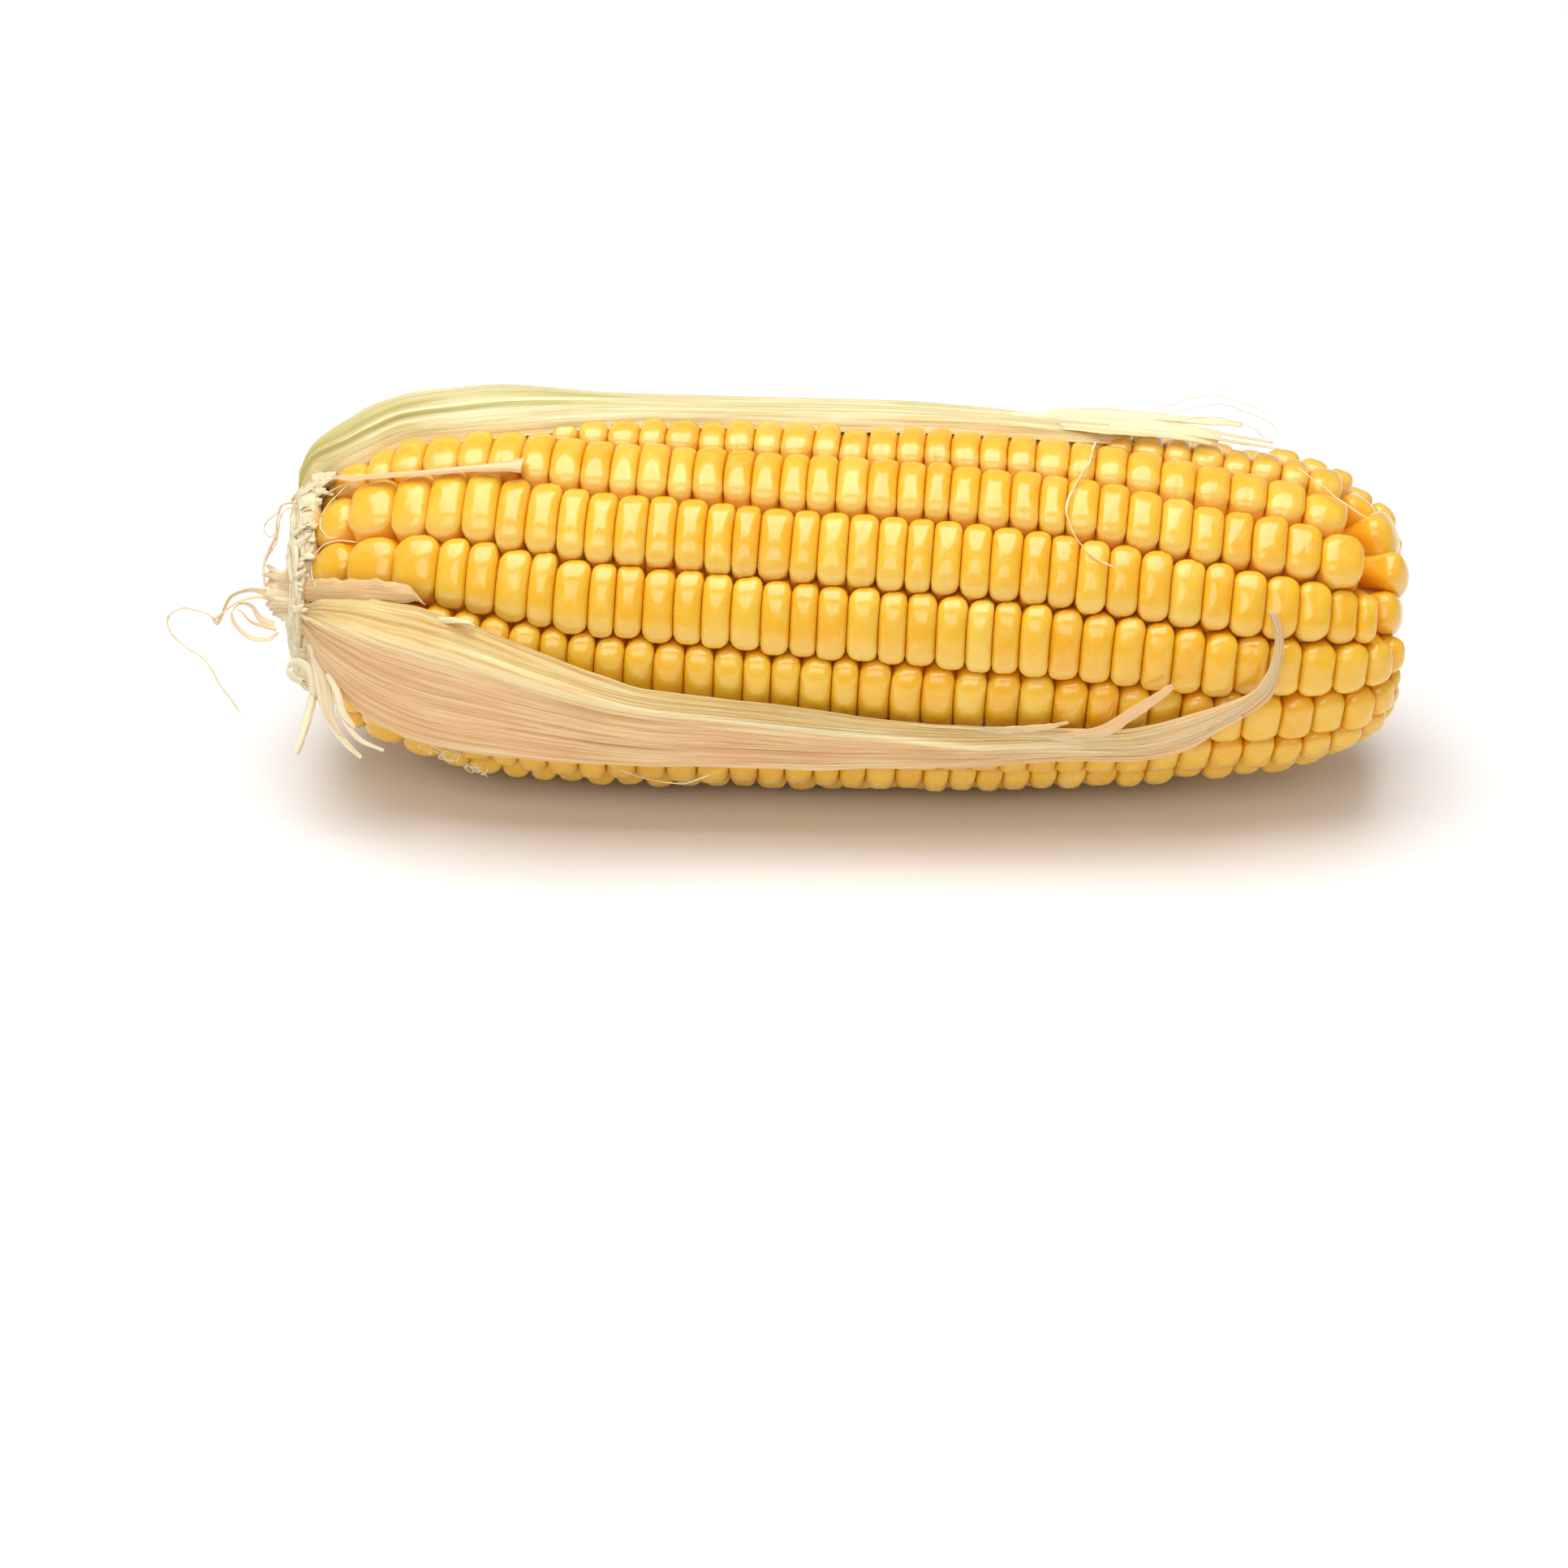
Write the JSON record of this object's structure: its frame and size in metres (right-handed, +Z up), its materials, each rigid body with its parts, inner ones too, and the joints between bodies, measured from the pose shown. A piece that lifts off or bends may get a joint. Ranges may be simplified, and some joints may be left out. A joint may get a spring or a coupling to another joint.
{
  "type": "corn cob",
  "caption": "Husked, trimmed ear of sweet corn lying on its side, with plump yellow kernels in winding rows and torn husk leaves, shreds and silk left at the butt.",
  "frame": {"origin": "on the surface that the ear rests on, under the middle of its bounding box", "axes": "+X from the cut stalk to the trimmed tip, +Y away from the viewer, +Z up"},
  "size_m": [0.1672, 0.0524, 0.0526],
  "materials": {
    "kernel": "satin",
    "core": "matte",
    "collar": "matte",
    "husk": "satin",
    "silk": "satin"
  },
  "bodies": {
    "root": {"cob_core": "core", "kernel_row_01": "kernel", "kernel_row_02": "kernel", "kernel_row_03": "kernel", "kernel_row_04": "kernel", "kernel_row_05": "kernel", "kernel_row_06": "kernel", "kernel_row_07": "kernel", "kernel_row_08": "kernel", "kernel_row_09": "kernel", "kernel_row_10": "kernel", "kernel_row_11": "kernel", "kernel_row_12": "kernel", "kernel_row_13": "kernel", "kernel_row_14": "kernel", "kernel_row_15": "kernel", "kernel_row_16": "kernel", "husk_collar": "collar", "husk_leaf_front": "husk", "husk_leaf_back": "husk", "husk_flap": "husk", "husk_strip": "husk", "husk_shred_1": "husk", "husk_shred_2": "husk", "fibre_fan": "silk", "fibre_curl_long": "silk", "fibre_curl_short": "silk", "fibre_upright": "silk", "silk_thread_1": "silk", "silk_thread_2": "silk", "silk_thread_3": "silk"}
  },
  "joints": []
}
